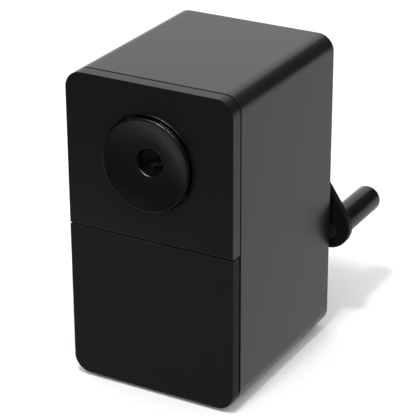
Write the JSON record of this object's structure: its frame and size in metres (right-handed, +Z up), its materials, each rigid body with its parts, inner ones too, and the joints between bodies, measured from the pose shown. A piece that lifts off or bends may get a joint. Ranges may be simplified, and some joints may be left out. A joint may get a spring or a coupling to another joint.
{
  "type": "desktop pencil sharpener",
  "caption": "Hand-cranked desktop pencil sharpener: upright rounded metal box, dished feed disc with a pencil hole, pull-out shavings drawer, rear crank with a round grip.",
  "frame": {"origin": "on the surface that the sharpener stands on, under the middle of the housing: midway between its sides, and midway between the front faces and the back edge", "axes": "+Z up; the front with the pencil hole faces -Y; the crank is at +Y; +X is to the right seen from the front"},
  "size_m": [0.0693, 0.1122, 0.1132],
  "materials": {
    "housing_paint": "satin black paint, fine orange peel",
    "panel_paint": "satin black paint",
    "drawer_paint": "matt black paint",
    "disc_finish": "satin black, turned face",
    "crank_paint": "matt black paint",
    "grip_plastic": "satin black plastic",
    "pad_rubber": "matt rubber",
    "tub_plastic": "dark grey moulded plastic",
    "nylon": "natural nylon",
    "magnet": "dark moulded magnet holder",
    "deck_steel": "zinc-plated sheet steel",
    "frame_alloy": "cast alloy",
    "bush_brass": "sintered bronze",
    "rod_steel": "bright ground steel",
    "chuck_alloy": "turned alloy",
    "jaw_plastic": "acetal",
    "tool_steel": "hardened ground steel",
    "spring_steel": "plated steel",
    "black_screws": "black oxide steel"
  },
  "bodies": {
    "housing": {"housing_shell": "housing_paint", "front_panel": "panel_paint", "disc_collar": "disc_finish", "panel_screws": "spring_steel", "rear_panel": "panel_paint", "rear_screws": "black_screws", "base_pad": "pad_rubber", "deck_plate": "deck_steel", "front_frame": "frame_alloy", "middle_frame": "frame_alloy", "rear_frame": "frame_alloy", "tie_rods": "rod_steel", "frame_screws": "spring_steel", "rod_bushes": "bush_brass", "front_bush": "bush_brass", "rear_bush": "bush_brass", "ring_gear": "tool_steel", "drawer_runners": "nylon", "drawer_magnet": "magnet", "return_springs": "spring_steel"},
    "drawer": {"drawer_front": "drawer_paint", "drawer_tub": "tub_plastic", "drawer_screws": "spring_steel", "catch_plate": "deck_steel"},
    "carriage": {"feed_disc": "disc_finish", "chuck_sleeve": "chuck_alloy", "chuck_cap": "chuck_alloy", "guide_rods": "rod_steel", "rod_clips": "spring_steel"},
    "jaw_1": {"chuck_jaw_1": "jaw_plastic"},
    "jaw_2": {"chuck_jaw_2": "jaw_plastic"},
    "jaw_3": {"chuck_jaw_3": "jaw_plastic"},
    "crank": {"crank_shaft": "rod_steel", "cutter_carrier": "frame_alloy", "cutter_pin": "rod_steel", "crank_arm": "crank_paint", "hub_screw": "black_screws", "hub_washer": "nylon", "handle_pin": "black_screws"},
    "cutter_unit": {"cutter": "tool_steel", "planet_gear": "bush_brass"},
    "grip": {"handle_grip": "grip_plastic"}
  },
  "joints": [
    {"name": "drawer_slide", "type": "slide", "parent": "housing", "child": "drawer", "axis": [0, -1, 0], "range_m": [0, 0.055]},
    {"name": "carriage_slide", "type": "slide", "parent": "housing", "child": "carriage", "axis": [0, -1, 0], "range_m": [0, 0.014], "stiffness_N_per_m": 150, "springref_m": -0.01, "deforming": ["return_springs"]},
    {"name": "jaw_1_slide", "type": "slide", "parent": "carriage", "child": "jaw_1", "axis": [0, 0, 1], "range_m": [0, 0.0012], "stiffness_N_per_m": 300},
    {"name": "jaw_2_slide", "type": "slide", "parent": "carriage", "child": "jaw_2", "axis": [0.866, 0, -0.5], "range_m": [0, 0.0012], "stiffness_N_per_m": 300},
    {"name": "jaw_3_slide", "type": "slide", "parent": "carriage", "child": "jaw_3", "axis": [-0.866, 0, -0.5], "range_m": [0, 0.0012], "stiffness_N_per_m": 300},
    {"name": "crank_turn", "type": "hinge", "parent": "housing", "child": "crank", "pos_m": [0, 0, 0.086], "axis": [0, 1, 0], "continuous": true},
    {"name": "cutter_spin", "type": "hinge", "parent": "crank", "child": "cutter_unit", "pos_m": [0, 0.002, 0.0948], "axis": [0, 0.9799, -0.1994], "continuous": true},
    {"name": "grip_spin", "type": "hinge", "parent": "crank", "child": "grip", "pos_m": [0.03023, 0.055, 0.03744], "axis": [0, 1, 0], "continuous": true}
  ],
  "couplings": [
    {"joint": "jaw_2_slide", "follows": "jaw_1_slide", "ratio": 1},
    {"joint": "jaw_3_slide", "follows": "jaw_1_slide", "ratio": 1},
    {"joint": "cutter_spin", "follows": "crank_turn", "ratio": -3.2}
  ]
}
